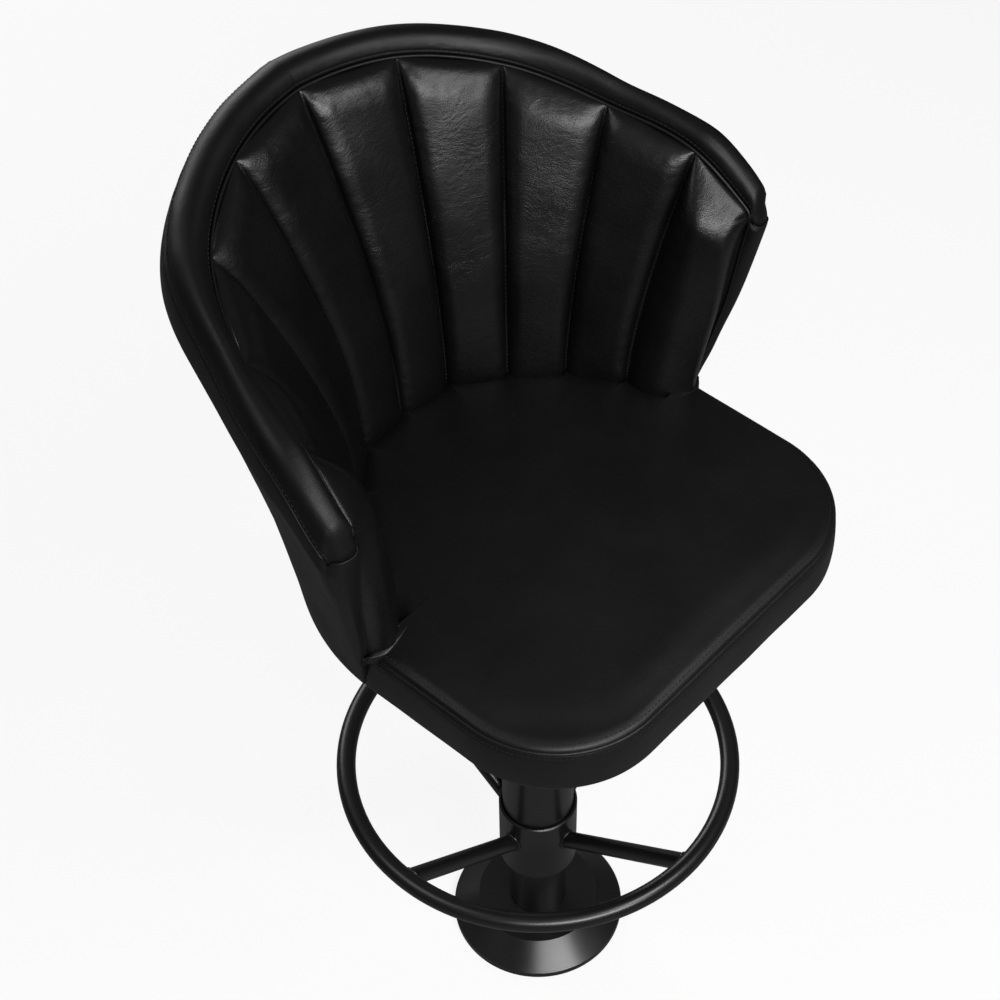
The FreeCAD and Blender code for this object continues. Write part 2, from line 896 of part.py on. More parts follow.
export(make_floor_plate(), "floor_plate")
export(make_base_cover(), "base_cover")
export(make_post(), "fixed_post")
export(make_hub(), "footrest_hub")
export(make_ring(), "footrest_ring")
for number, spoke in enumerate(make_spokes(), 1):
    export(spoke, "footrest_spoke_" + str(number))
export(make_post_plug(), "spindle_plug")
export(make_race(race_floor, ball_height), "lower_race")
export(make_balls(), "bearing_balls")
export(make_race(upper_race_floor, ball_height), "upper_race")
export(make_column(), "seat_column")
export(make_bush(column_foot), "lower_bush")
export(make_bush(post_top - upper_bush_drop - bush_length), "upper_bush")
export(make_column_head(), "column_head")
export(make_spindle_washer(), "spindle_washer")
export(make_spindle_nut(), "spindle_nut")
export(make_seat_plate(), "seat_plate")
export(make_gussets(), "plate_gussets")
export(make_seat_bolts(), "seat_bolts")
export(make_tee_nuts(), "tee_nuts")
export(make_dust_cover(), "dust_cover")
export(make_seat_board(), "seat_board")
export(make_seat_foam(), "seat_foam")
export(make_seat_cushion(), "seat_cushion")
export(make_seat_border(), "seat_border")
export(make_seat_welt(seat_welt_radius), "seat_welt")
export(make_back_shell(), "back_shell")
export(make_back_foam(), "back_foam")
export(make_outer_cover(), "outer_back_cover")
export(make_rim_roll(-1.0), "rim_roll_left")
export(make_rim_roll(1.0), "rim_roll_right")
export(make_rim_welt(back_welt_radius), "rim_welt")
for name, side in (("left", -1.0), ("right", 1.0)):
    export(make_arm_welt(side, back_welt_radius), "arm_welt_" + name)
    export(make_facing(side), "arm_facing_" + name)
for number, span in enumerate(channel_spans(), 1):
    export(make_channel_pad(span), "channel_pad_" + str(number))
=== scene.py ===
"""A swivel bar stool with a fluted tub back: its soft pieces, looks, lights and camera."""
import json
import math
from functools import lru_cache

import bpy
import numpy as np
from mathutils import Euler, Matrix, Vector, noise


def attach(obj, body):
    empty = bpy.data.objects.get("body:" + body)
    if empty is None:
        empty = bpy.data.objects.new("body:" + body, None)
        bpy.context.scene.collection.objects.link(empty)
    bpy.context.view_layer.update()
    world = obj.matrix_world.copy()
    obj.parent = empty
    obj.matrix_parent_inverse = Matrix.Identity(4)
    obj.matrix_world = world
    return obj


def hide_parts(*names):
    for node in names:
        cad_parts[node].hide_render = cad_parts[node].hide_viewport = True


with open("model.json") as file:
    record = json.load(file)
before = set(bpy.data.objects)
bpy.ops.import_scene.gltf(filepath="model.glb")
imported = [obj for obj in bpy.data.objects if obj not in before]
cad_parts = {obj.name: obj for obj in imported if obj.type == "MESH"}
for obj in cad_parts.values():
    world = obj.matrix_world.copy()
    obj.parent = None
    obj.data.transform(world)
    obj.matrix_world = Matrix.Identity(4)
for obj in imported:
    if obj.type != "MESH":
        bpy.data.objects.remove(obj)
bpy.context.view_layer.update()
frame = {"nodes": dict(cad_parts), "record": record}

MM = 0.001
UP = np.array([0.0, 0.0, 1.0])

# Sizes of the part's source in millimetres, repeated because scene.py reads only the frame.
# The channels and the bulge outside are a little different from the solids, as in the photo.
seat_underside = 667.0
seam_height = 720.0
seat_half_width = 237.0
seat_front_reach = 243.0
seat_corner_radius = 116.0
seat_crown = 29.0
back_centre_offset = 20.0
foot_radius = 165.0
foot_height = 735.0
foot_angle = 95.6
top_radius = 270.0
top_height = 1082.0
top_angle = 102.5
top_drop = 142.0
lean_power = 1.6
arm_bow = 9.0
base_angle = 88.0
rim_width = 38.0
rim_crest = 23.0
rim_fall = 12.0
rim_end_turn = 15.0
bulge_reach = 17.0
bulge_drop = 22.0
flare_hollow = 6.0
channel_bulge = 14.0
channel_crest_round = 28.0
arm_bulge = 32.0
arm_crest_round = 40.0
pad_depth = 8.0

# Forms of the scene alone: how the arms' fronts are rounded, where the thread lies, and the
# shares of the outside's rows that lie under its bulge and over it
end_round = 9.0
end_draw = 11.0
draw_reach = 60.0
end_swell = 0.35
corner_round = 11.0
rim_stitch_insets = (4.4, 4.6)
seat_stitch_inset = 5.0
band_stitch_drop = 5.2
band_height = seam_height - seat_underside
foot_level = seam_height + 1.0
lining_inset = 18.0
wall_share, brow_share = 0.8, 0.2
# Noise stretched along folds that run level, and along folds that run upright
level_folds = np.array([0.25, 0.25, 1.0])
upright_folds = np.array([1.0, 1.0, 0.2])
seat_centre = np.array([0.0, -20.0])

seam_shares = (0.0, 0.223, 0.45, 0.662, 0.868, 1.0)
foot_radius_shares = (1.0, 1.035, 0.995, 1.052, 1.142, 1.48)
top_angle_shares = (0.0, 0.2195, 0.436, 0.656, 0.86, 1.0)
top_radius_shares = (1.0, 0.986, 0.985, 0.952, 0.963, 1.024)
top_drop_shares = (0.0, 0.056, 0.246, 0.465, 0.627, 1.0)
rim_width_shares = (1.0, 0.95, 0.9, 0.71, 0.74, 0.74)
rim_turn_shares = (0.0, 0.0, 0.0, 0.0, 0.0, 1.0)
bulge_shares = (1.0, 0.84, 0.74, 0.32, 0.62, 0.3)
crest_shares = (1.0, 1.0, 1.0, 0.9, 0.75, 0.35)
hollow_shares = (1.0, 1.0, 1.0, 1.0, 0.8, 0.3)
arm_bow_shares = (0.0, 0.0, 0.0, 0.0, 0.2, 1.0)


def unit(v):
    return v / np.maximum(np.linalg.norm(v, axis=-1, keepdims=True), 1e-12)


def smooth(x):
    x = np.clip(x, 0.0, 1.0)
    return x * x * (3 - 2 * x)


def bell(x, middle, width):
    return np.exp(-((x - middle) / width) ** 2)


def shares_at(shares, u):
    """Value at share u of a smooth curve through a table's values at the seams."""
    low = max(i for i in range(len(seam_shares) - 1) if seam_shares[i] <= u)
    high = low + 1

    def slope(i):
        if i == 0:
            return 0.0
        after = min(i + 1, len(seam_shares) - 1)
        return (shares[after] - shares[i - 1]) / (seam_shares[after] - seam_shares[i - 1])

    width = seam_shares[high] - seam_shares[low]
    s = (u - seam_shares[low]) / width
    value = shares[low] * (1 + 2 * s) * (1 - s) ** 2 + shares[high] * s * s * (3 - 2 * s)
    return value + slope(low) * width * s * (1 - s) ** 2 + slope(high) * width * s * s * (s - 1)


class Station:
    """The wall of the back at a share of the way from its centre to an arm's front."""

    def __init__(self, share):
        side = -1 if share < 0 else 1
        u = abs(share)
        self.u = u
        reach = foot_radius * shares_at(foot_radius_shares, u)
        self.foot = self.around(side, foot_angle * u, reach)
        sweep = top_angle * shares_at(top_angle_shares, u)
        self.top = self.around(side, sweep, top_radius * shares_at(top_radius_shares, u))
        self.height = top_height - top_drop * shares_at(top_drop_shares, u)
        self.bow = side * arm_bow * shares_at(arm_bow_shares, u)
        self.width = rim_width * shares_at(rim_width_shares, u)
        self.crest = rim_crest * shares_at(crest_shares, u)
        turn = math.radians(sweep - rim_end_turn * shares_at(rim_turn_shares, u))
        self.out = np.array([side * math.sin(turn), math.cos(turn), 0.0])
        base = math.radians(base_angle * u)
        self.base = seat_half_width * np.array([side * math.sin(base), math.cos(base), 0.0])
        self.swell = bulge_reach * shares_at(bulge_shares, u)
        self.bulge = self.top + self.out * (self.width + self.swell)
        self.bulge_height = self.height - rim_fall - bulge_drop
        self.hollow = flare_hollow * shares_at(hollow_shares, u)

    @staticmethod
    def around(side, sweep, radius):
        turn = math.radians(sweep)
        y = back_centre_offset + radius * math.cos(turn)
        return np.array([side * radius * math.sin(turn), y, 0.0])

    def inner(self, height):
        height = np.asarray(height, float)
        rise = np.maximum(0.0, (height - foot_height) / (self.height - foot_height))
        place = self.foot + (self.top - self.foot) * rise[..., None] ** lean_power
        place = place + height[..., None] * UP
        place[..., 0] += self.bow * np.sin(np.pi * np.minimum(rise, 1.0))
        return place

    def outer(self, height):
        height = np.asarray(height, float)
        rise = (height - seat_underside) / (self.bulge_height - seat_underside)
        hollow = self.hollow * np.sin(np.pi * np.clip(rise, 0, 1))
        return (self.base + (self.bulge - self.base) * rise[..., None]
                - self.out * hollow[..., None] + height[..., None] * UP)

    def rim(self, reach, height):
        reach, height = np.asarray(reach, float), np.asarray(height, float)
        return self.top + self.out * reach[..., None] + UP * (self.height + height)[..., None]


@lru_cache(maxsize=None)
def station(share):
    return Station(share)


def end_plane(side):
    s = station(side)
    origin = s.inner(foot_height)
    up = s.inner(s.height) - origin
    across = s.outer(s.bulge_height) - origin
    normal = unit(np.cross(up, across))
    return origin, (-normal if normal[1] > 0 else normal)


def end_shift(points, side):
    """How far each point at an arm's front moves to lie on the front's leaning plane."""
    origin, normal = end_plane(side)
    return -((points - origin) @ normal)[..., None] * normal


def behind_end(points, side):
    """How far points lie behind the plane of an arm's front."""
    origin, front = end_plane(side)
    return np.clip((origin - points) @ front, 0, None)


def end_fall(side):
    """The way down an arm's front, along its inner edge."""
    s = station(side)
    return unit(s.inner(s.height - end_round) - s.inner(s.height))


def over_end(points, side, weight=1.0):
    """Carries points near the top of an arm's front over its rounded end."""
    t = np.clip(behind_end(points, side) / end_round, 0, 1)
    forward = end_round * (t - 1 + np.cos(t * math.pi / 2))
    drop = end_round * (1 - np.sin(t * math.pi / 2))
    points = points + end_plane(side)[1] * (forward * weight)[..., None]
    return points + end_fall(side) * (drop * weight)[..., None]


def rounded(behind, inside, radius):
    """New distances of a point behind one edge and inside another, so that the corner between
    them is round instead of square."""
    p, q = np.clip(radius - behind, 0, None), np.clip(radius - inside, 0, None)
    scale = np.where((p > 0) & (q > 0), np.maximum(p, q) / np.maximum(np.hypot(p, q), 1e-9), 1.0)
    return np.where(p > 0, radius - p * scale, behind), np.where(q > 0, radius - q * scale, inside)


def round_corner(points, side, inside, radius):
    """Rounds the upright corner between an arm's front and its outer face."""
    behind = behind_end(points, side)
    new_behind, new_inside = rounded(behind, inside, radius)
    return (points + end_plane(side)[1] * (behind - new_behind)[..., None]
            - station(side).out * (new_inside - inside)[..., None])


def drawn_back(points):
    """Draws the tops of the arms' fronts back along the rim, from 815 mm up."""
    for side in (-1.0, 1.0):
        s = station(side)
        top = s.rim(0.0, 0.0)
        along = unit(station(side * 0.94).rim(0.0, 0.0) - top)
        near = np.clip(1 - behind_end(points, side) / draw_reach, 0, 1)
        outward = smooth((points - top) @ s.out / 28)
        weight = near ** 2 * smooth((points[..., 2] - 815) / 110) * (points[..., 0] * side > 0)
        weight = weight * (0.5 + 0.5 * outward)
        points = points + along * (end_draw * weight)[..., None]
    return points


def wobble(points, scale, seed):
    """Smooth noise at points in millimetres, one wave about every scale millimetres."""
    shift = Vector((seed * 17.3, seed * -9.1, seed * 5.7))
    values = [noise.noise(Vector(p / scale) + shift) for p in points.reshape(-1, 3)]
    return np.array(values).reshape(points.shape[:-1])


def linked(name, data):
    """A new object in the scene."""
    obj = bpy.data.objects.new(name, data)
    bpy.context.scene.collection.objects.link(obj)
    return obj


def add_object(name, verts, faces, material, replaces=(), body="seat", slot="black_leather"):
    """A visible piece that rides a body, from points in millimetres."""
    mesh = bpy.data.meshes.new(name)
    mesh.from_pydata((verts * MM).tolist(), [], faces)
    mesh.validate()
    mesh.update()
    mesh.shade_smooth()
    mesh.materials.append(material)
    obj = linked(name, mesh)
    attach(obj, body)
    if replaces:
        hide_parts(*replaces)
    return obj


def ring_faces(rings, count, start=0):
    """Quads between rings of count points each."""
    faces = []
    for i in range(rings - 1):
        a, b = start + i * count, start + (i + 1) * count
        for j in range(count):
            k = (j + 1) % count
            faces.append((a + j, a + k, b + k, b + j))
    return faces


def lofted(rings, flip=False):
    """A closed form through rings, an array of rings by points, with a fan at each end."""
    count, size = rings.shape[:2]
    verts = np.concatenate([rings.reshape(-1, 3), [rings[0].mean(0), rings[-1].mean(0)]])
    faces = ring_faces(count, size)
    first, last, end = count * size, count * size + 1, (count - 1) * size
    for j in range(size):
        k = (j + 1) % size
        faces += [(first, k, j), (last, end + j, end + k)]
    return verts, [face[::-1] for face in faces] if flip else faces


def stuffed(name, rings, material, replaces, flip=False):
    """A padded piece of leather on the seat, closed through rings."""
    add_object(name, *lofted(rings, flip), material, replaces)


def mirrored(half):
    """Rows of points with their mirror image in X before them, the first row only once."""
    flip = np.ones(half.shape[-1])
    flip[0] = -1.0
    return np.concatenate([(half * flip)[::-1][:-1], half])


def loop_of(half):
    """A closed outline from its half on the +X side."""
    return np.concatenate([half, (half * np.array([-1.0, 1.0]))[::-1][1:-1]])


def hemmed(grid, steps):
    """A grid with its lower edge turned inward, by steps of (reach, height)."""
    inward = unit(grid[:, 0] * np.array([1.0, 1.0, 0.0]))
    hem = [grid[:, 0] - inward * reach + UP * height for reach, height in steps]
    return np.concatenate([np.stack(hem, axis=1), grid], axis=1)


def at_height(outline, height):
    """Points of a flat outline at a height."""
    return np.concatenate([outline, np.full((len(outline), 1), height)], axis=1)


def grid_normals(grid):
    a = np.gradient(grid, axis=0)
    b = np.gradient(grid, axis=1)
    return unit(np.cross(a, b))


def run_of(line):
    """Distance of each point of a line from its start, along the line."""
    return np.concatenate([[0], np.cumsum(np.linalg.norm(np.diff(line, axis=0), axis=1))])


def picked(values, run, at):
    """Values at distances along a line, from its points' values and runs."""
    return np.stack([np.interp(at, run, column) for column in values.T], 1)


def evenly(line, step):
    """A line's runs, and distances along it about step millimetres apart."""
    run = run_of(line)
    return run, np.linspace(0, run[-1], max(2, int(round(run[-1] / step)) + 1))


def piping(name, path, radius, material, replaces=(), step=3.0):
    """A round cord along a path, with closed ends."""
    points = picked(path, *evenly(path, step))
    tangent = unit(np.gradient(points, axis=0))
    side = unit(np.cross(tangent, UP + 0.01))
    lift = np.cross(side, tangent)
    turn = np.linspace(0, 2 * np.pi, 12, endpoint=False)
    rings = points[:, None] + radius * (np.cos(turn)[:, None] * side[:, None]
                                        + np.sin(turn)[:, None] * lift[:, None])
    caps = [points[0] + (rings[0] - points[0]) * 0.5 - tangent[0] * radius * 0.6]
    caps.append(points[-1] + (rings[-1] - points[-1]) * 0.5 + tangent[-1] * radius * 0.6)
    add_object(name, *lofted(np.concatenate([caps[:1], rings, caps[1:]])), material, replaces)


def stitches(name, rows, material, length=3.4, gap=1.5, radius=0.42, lift=0.1):
    """Threads lying on the leather along rows of (path, normals), each a bent capsule."""
    sides = 6
    # A thread's rings: place along it, thickness, and height, with the ends sunk in the leather
    shape = np.array([(-0.5, 0.35, -1.6), (-0.42, 0.85, -0.75), (-0.2, 1.0, 0.0),
                      (0.2, 1.0, 0.0), (0.42, 0.85, -0.75), (0.5, 0.35, -1.6)])
    along, size, sink = shape.T
    turn = np.linspace(0, 2 * np.pi, sides, endpoint=False)
    verts, faces, total = [], [], 0
    for path, normals in rows:
        run, at = evenly(path, length + gap)
        points, up = picked(path, run, at), unit(picked(normals, run, at))
        tangent = unit(np.gradient(points, axis=0))
        up = unit(up - (up * tangent).sum(1, keepdims=True) * tangent)
        side = np.cross(tangent, up)
        centre = (points[:, None] + tangent[:, None] * (along * length)[:, None]
                  + up[:, None] * (sink * radius + lift)[:, None])
        ring = (np.cos(turn)[:, None] * side[:, None, None]
                + np.sin(turn)[:, None] * up[:, None, None])
        threads = centre[:, :, None] + ring * (size * radius)[:, None, None]
        verts.append(threads.reshape(-1, 3))
        for start in range(total, total + len(verts[-1]), len(along) * sides):
            end = start + (len(along) - 1) * sides
            faces += ring_faces(len(along), sides, start)
            faces.append(tuple(start + j for j in reversed(range(sides))))
            faces.append(tuple(end + j for j in range(sides)))
        total += len(verts[-1])
    return add_object(name, np.concatenate(verts), faces, material)


# Materials

def filled(node, **values):
    """A node whose inputs, by name, are given values or linked to sockets."""
    for key, value in values.items():
        if isinstance(value, bpy.types.NodeSocket):
            node.id_data.links.new(value, node.inputs[key])
        else:
            node.inputs[key].default_value = value
    return node


def new_node(tree, kind, **values):
    return filled(tree.nodes.new("ShaderNode" + kind), **values)


def new_material(name):
    material = bpy.data.materials.new(name)
    material.use_nodes = True
    return material, material.node_tree, material.node_tree.nodes["Principled BSDF"]


def texture(kind, at, **values):
    """A texture node of a kind, at a socket that gives the place."""
    return new_node(at.id_data, "Tex" + kind, Vector=at, **values)


def ramp(source, low, high, dark, light):
    """A socket from low to high, carried to dark to light."""
    ends = {"From Min": low, "From Max": high, "To Min": dark, "To Max": light}
    return new_node(source.id_data, "MapRange", Value=source, **ends).outputs["Result"]


def maths(operation, first, second):
    """Result of an operation on a socket and another socket or a number."""
    made = new_node(first.id_data, "Math")
    made.operation = operation
    first.id_data.links.new(first, made.inputs[0])
    if isinstance(second, float):
        made.inputs[1].default_value = second
    else:
        first.id_data.links.new(second, made.inputs[1])
    return made.outputs["Value"]


def two_tones(shader, source, dark, light):
    """Base colour between two tones, by a socket from 0 to 1."""
    colour = new_node(shader.id_data, "Mix")
    colour.data_type = "RGBA"
    filled(colour, A=(*dark, 1), B=(*light, 1), Factor=source)
    filled(shader, **{"Base Color": colour.outputs["Result"]})


def bumps(shader, layers):
    """Bump of layers of (height, distance, strength), each on the one before."""
    last = {}
    for height, distance, strength in layers:
        bump = new_node(shader.id_data, "Bump", Height=height, Strength=strength,
                        Distance=distance, **last)
        last = {"Normal": bump.outputs["Normal"]}
    filled(shader, **last)


def leather(name, tone, rough, crease=1.0, gloss=0.35):
    """Dyed hide with a pebbled grain and creases."""
    material, tree, shader = new_material(name)
    place = new_node(tree, "TexCoord").outputs["Object"]
    # Slow change of colour, as hide takes dye
    cloud = texture("Noise", place, Scale=14.0, Detail=4.0, Roughness=0.6).outputs["Fac"]
    two_tones(shader, cloud, (tone * 0.8, tone * 0.8, tone * 0.82),
              (tone * 1.25, tone * 1.22, tone * 1.2))
    # Pebbled grain under a millimetre across
    grain = texture("Voronoi", place, Scale=820.0, Randomness=1.0)
    grain.feature = "SMOOTH_F1"
    filled(grain, Smoothness=0.35)
    fine = texture("Noise", place, Scale=2100.0, Detail=3.0)
    # Long fine creases, bent by a slower noise
    bend = texture("Noise", place, Scale=30.0, Detail=2.0)
    moved = new_node(tree, "VectorMath")
    moved.operation = "MULTIPLY_ADD"
    moved.inputs[1].default_value = (0.035, 0.035, 0.035)
    tree.links.new(bend.outputs["Color"], moved.inputs[0])
    tree.links.new(place, moved.inputs[2])
    stretch = new_node(tree, "Mapping", Vector=moved.outputs["Vector"], Scale=(1.0, 1.0, 2.6))
    crack = texture("Voronoi", stretch.outputs["Vector"], Scale=170.0)
    crack.feature = "DISTANCE_TO_EDGE"
    line = ramp(crack.outputs["Distance"], 0.0, 0.09, 0.0, 1.0)
    # Creases come and go over the surface
    patch = texture("Noise", place, Scale=11.0, Detail=2.0)
    where = ramp(patch.outputs["Fac"], 0.44, 0.62, 0.0, 1.0)
    lines = new_node(tree, "Mix", A=1.0, B=line, Factor=where)
    wave = texture("Noise", stretch.outputs["Vector"], Scale=95.0, Detail=3.0, Roughness=0.55)
    bumps(shader, (
        (wave.outputs["Fac"], 0.0007, 0.4 * crease),
        (lines.outputs["Result"], 0.00016, 0.28 * crease),
        (grain.outputs["Distance"], 0.00014, 0.45),
        (fine.outputs["Fac"], 0.00005, 0.3),
    ))
    worn = ramp(cloud, 0.3, 0.7, rough - 0.04, rough + 0.06)
    filled(shader, Roughness=worn, **{"Specular IOR Level": gloss})
    return material


def coated_metal(name, tone, rough, metallic=0.0):
    """Paint, plastic, wood or bare metal with a fine peel, by its tone and roughness."""
    material, tree, shader = new_material(name)
    place = new_node(tree, "TexCoord").outputs["Object"]
    cloud = texture("Noise", place, Scale=9.0, Detail=5.0, Roughness=0.6).outputs["Fac"]
    two_tones(shader, cloud, (tone * 0.85, tone * 0.85, tone * 0.86),
              (tone * 1.15, tone * 1.14, tone * 1.12))
    peel = texture("Noise", place, Scale=900.0, Detail=2.0)
    bumps(shader, ((peel.outputs["Fac"], 0.00003, 0.4),))
    worn = ramp(cloud, 0.3, 0.7, rough - 0.04, rough + 0.05)
    filled(shader, Roughness=worn, Metallic=metallic)
    return material


def thread(name, tone):
    """Twisted sewing thread."""
    material, tree, shader = new_material(name)
    place = new_node(tree, "TexCoord").outputs["Object"]
    twist = texture("Wave", place, Scale=900.0, Distortion=2.0, Detail=2.0).outputs["Fac"]
    # The thread is darker where its twist is sunk and lighter on its ridges: painted shade and
    # painted highlight that follow the bump
    two_tones(shader, twist, (tone * 0.6,) * 3, (tone * 1.4,) * 3)
    bumps(shader, ((twist, 0.0001, 0.5),))
    filled(shader, Roughness=0.8, **{"Specular IOR Level": 0.2})
    return material


def woven(name, tone):
    """Plain cloth."""
    material, tree, shader = new_material(name)
    place = new_node(tree, "TexCoord").outputs["Object"]
    yarns = []
    for direction in "XY":
        yarn = texture("Wave", place, Scale=420.0, Distortion=1.2, Detail=1.0)
        yarn.bands_direction = direction
        yarns.append(yarn.outputs["Fac"])
    both = maths("MULTIPLY", *yarns)
    # The cloth is lighter where the yarns cross high and darker in the hollows between them:
    # painted highlight and painted shade that follow the bump
    two_tones(shader, both, (tone * 0.6, tone * 0.6, tone * 0.62), (tone * 1.5,) * 3)
    bumps(shader, ((both, 0.0002, 0.6),))
    filled(shader, Roughness=0.9)
    return material


leather_seat = leather("leather_seat", 0.0024, 0.46, 0.6)
leather_back = leather("leather_back", 0.0022, 0.34, 1.0)
leather_rim = leather("leather_rim", 0.0024, 0.46, 0.7, 0.26)
leather_outer = leather("leather_outer", 0.0028, 0.52, 0.7, 0.25)
black_thread = thread("black_thread", 0.013)
satin_black = coated_metal("satin_black", 0.006, 0.3)
bare_steel = coated_metal("bare_steel", 0.5, 0.35, 1.0)
plastic = coated_metal("bush_plastic", 0.35, 0.5)
board_wood = coated_metal("board_wood", 0.35, 0.7)
lining = woven("lining", 0.012)


# Channels of the back

def side_profile(across, width, shoulder, edge):
    """Rise of a channel from the seams at its sides: a flat valley, a shoulder, a slow crown."""
    distance = np.minimum(across, 1 - across) * width
    q = np.clip((distance - edge) / (width / 2 - edge), 0, 1)
    round_part = np.sqrt(1 - (1 - np.clip(q / shoulder, 0, 1)) ** 2)
    return 0.84 * round_part + 0.16 * (1 - (1 - q) ** 2)


def spacing(count, ease):
    """Shares from 0 to 1, closer together near both ends."""
    t = np.linspace(0, 1, count)
    return (1 - ease) * t + ease * (1 - np.cos(np.pi * t)) / 2


def channel(number, low, high):
    """One channel of the back: a stuffed pad between the seams at two shares."""
    left, right = station(low), station(high)
    at_arm = 1.0 in (abs(low), abs(high))
    bulge, crest_round, crest_power, foot_share, depth_share = (
        (arm_bulge, arm_crest_round, 0.8, 0.9, 0.3) if at_arm
        else (channel_bulge, channel_crest_round, 0.5, 0.5, 1.0))
    across = spacing(41, 0.75)
    levels = spacing(101, 0.35)
    shoulder = 0.46
    if at_arm:
        # Slow toward its neighbour, quick toward the arm's front
        shoulder = np.where((across > 0.5) == (high == 1.0), 0.34, 0.9)
    fronts, backs, inward, widths = [], [], [], []
    for level in levels:
        start = left.inner(foot_level + (left.height - foot_level) * level)
        end = right.inner(foot_level + (right.height - foot_level) * level)
        run = end - start
        width = np.linalg.norm(run)
        flat = unit(np.array([run[0], run[1], 0.0]))
        out = np.array([-flat[1], flat[0], 0.0])
        if out @ (left.out + right.out) < 0:
            out = -out
        drop = (1 - level) * (left.height + right.height - 2 * foot_level) / 2
        top_fall = (1 - max(0.0, 1 - drop / crest_round) ** 2) ** crest_power
        full = bulge * top_fall * (foot_share + (1 - foot_share) * smooth(level / 0.45))
        rise = full * side_profile(across, width, shoulder, 1.4)
        fronts.append(start + run * across[:, None] - out * rise[:, None])
        backs.append(start + run * across[::-5, None] + out * pad_depth * depth_share)
        inward.append(-out)
        widths.append(width)
    front = np.array(fronts)
    # Puckers that run out from the sewn edges, and a slow unevenness of the stuffing
    distance = np.minimum(across, 1 - across) * np.array(widths)[:, None]
    height_left = ((1 - levels) * (left.height - foot_level))[:, None]
    near_side = bell(distance, 7, 6.0)
    near_top = bell(height_left, 14, 10.0)
    pucker = wobble(front * level_folds, 7.0, number)
    pleat = wobble(front * upright_folds, 9.0, number + 20)
    slow = wobble(front, 45.0, number + 40)
    edge = smooth(distance / 3.0) * smooth(height_left / 4.0)
    shift = (0.55 * pucker * near_side + 0.6 * pleat * near_top + 0.8 * slow) * edge
    front = front + np.array(inward)[:, None] * shift[..., None]
    rings = np.concatenate([front, np.array(backs)], axis=1)
    if at_arm:
        # The corner at the top of an arm's front is round
        side = 1.0 if high == 1.0 else -1.0
        behind = behind_end(rings, side)
        below = rings[-1:, :, 2] - rings[..., 2]
        new_behind, new_below = rounded(behind, below, end_round)
        rings = (rings + end_plane(side)[1] * (behind - new_behind)[..., None]
                 + end_fall(side) * (new_below - below)[..., None])
    rings = drawn_back(rings)
    stuffed("channel_" + str(number), rings, leather_back, ("channel_pad_" + str(number),))
    return rings[:, :len(across)]


seams = [-s for s in reversed(seam_shares[1:])] + list(seam_shares)
channels = [channel(n, a, b) for n, (a, b) in enumerate(zip(seams[:-1], seams[1:]), 1)]

rows = []
for share in seams[1:-1]:
    s = station(share)
    heights = np.linspace(seam_height + 22, s.height - 5, 90)
    path = s.inner(heights)
    beside = station(share + 0.01).inner(heights) - station(share - 0.01).inner(heights)
    normal = unit(np.cross(np.gradient(path, axis=0), beside))
    if normal[45] @ s.out > 0:
        normal = -normal
    rows.append((path + normal * 0.25, normal))
stitches("channel_stitches", rows, black_thread)


# Rim

def seam_turn(s):
    """Angle round the outer half of the rim's outline at which the outer seam lies."""
    turn = 46 + 15 * float(smooth((s.u - 0.3) / 0.6))
    return math.radians(turn + 13 * float(smooth((s.u - 0.85) / 0.15)))


def roll_height(s):
    """Height of the rim's crest over its inner seam."""
    middle = 6.0 * math.exp(-((s.u - 0.6) / 0.13) ** 2)
    return s.crest * 0.88 + middle + 9.0 * float(smooth((s.u - 0.8) / 0.16))


def flatness(s):
    """Power of the rim's outline: 1 is round, less is flatter on top, as it is toward the arms."""
    return 1 - 0.2 * float(smooth((s.u - 0.65) / 0.3))


def brow(s, turn):
    """Outer half of the rim's outline, round from its crest to the bulge of the outside."""
    low = rim_fall + bulge_drop
    crest, power = roll_height(s), flatness(s)
    return np.stack([s.width / 2 + (s.width / 2 + s.swell) * np.clip(np.sin(turn), 0, 1) ** power,
                     -low + (low + crest) * np.clip(np.cos(turn), 0, 1) ** power], 1)


def rim_section(s):
    """The rim's upper outline at a station, from its inner to its outer seam: its points as
    (reach, height), how far they are drawn in, their runs, and the whole run."""
    t = np.linspace(0, 1, 200)
    rise = t * math.pi / 2
    crest, power = roll_height(s), flatness(s)
    first = np.stack([s.width / 2 - (s.width / 2 - 2.0) * np.clip(np.cos(rise), 0, 1) ** power,
                      0.4 + (crest - 0.4) * np.sin(rise) ** power], 1)
    line = np.concatenate([first, brow(s, t * seam_turn(s))[1:]])
    run = run_of(line)
    at = spacing(56, 0.85) * run[-1]
    left = run[-1] - at
    # Each edge is sewn down a little way from its seam, which leaves a narrow raised band
    inner, outer = rim_stitch_insets
    groove = bell(at, inner, 0.9) + bell(left, outer, 0.9)
    tuck = bell(left, 0, 1.0) * 0.9 + bell(at, 0, 1.0) * 0.8
    return picked(line, run, at), 0.5 * groove + tuck, at, run[-1]


